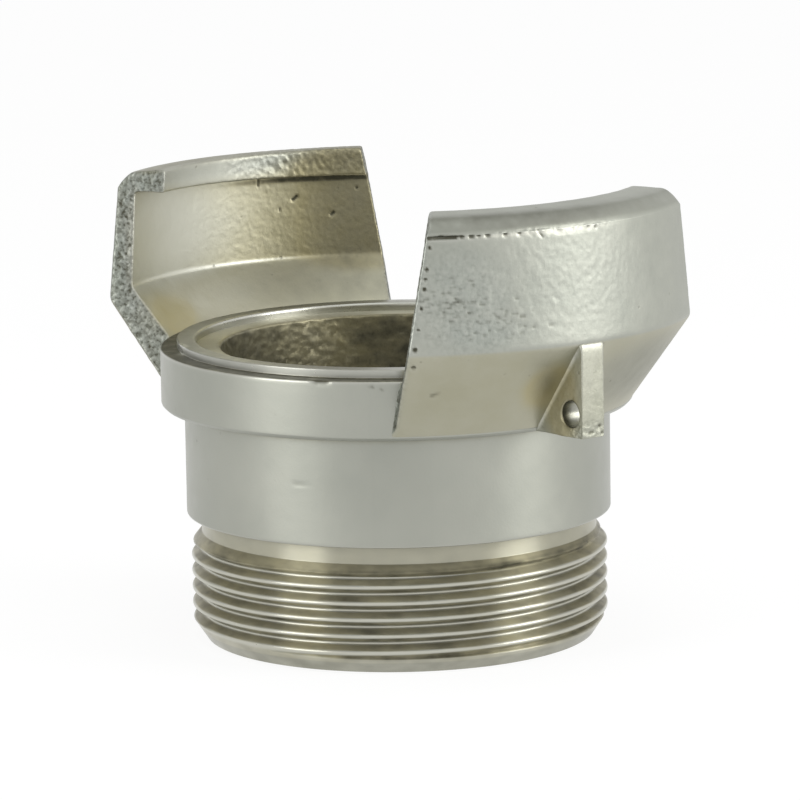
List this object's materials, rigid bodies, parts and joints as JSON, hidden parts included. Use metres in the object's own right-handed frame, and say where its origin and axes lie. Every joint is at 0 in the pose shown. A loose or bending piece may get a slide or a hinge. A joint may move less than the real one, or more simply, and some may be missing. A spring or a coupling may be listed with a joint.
{
  "type": "quarter turn fire hose coupling",
  "caption": "Male threaded half of a symmetrical quarter turn hose coupling: flanged steel body with hooked claws, raised sealing seat, through bore and a drilled chain lug.",
  "frame": {"origin": "centre of the threaded end's flat rim, on the bore axis", "axes": "+Z along the bore towards the claws, +X through the claw that carries the chain lug"},
  "size_m": [0.0856, 0.0672, 0.0655],
  "materials": {
    "body": "blasted casting with machined seat, collar and thread"
  },
  "bodies": {
    "root": {"coupling_body": "body"}
  },
  "joints": []
}
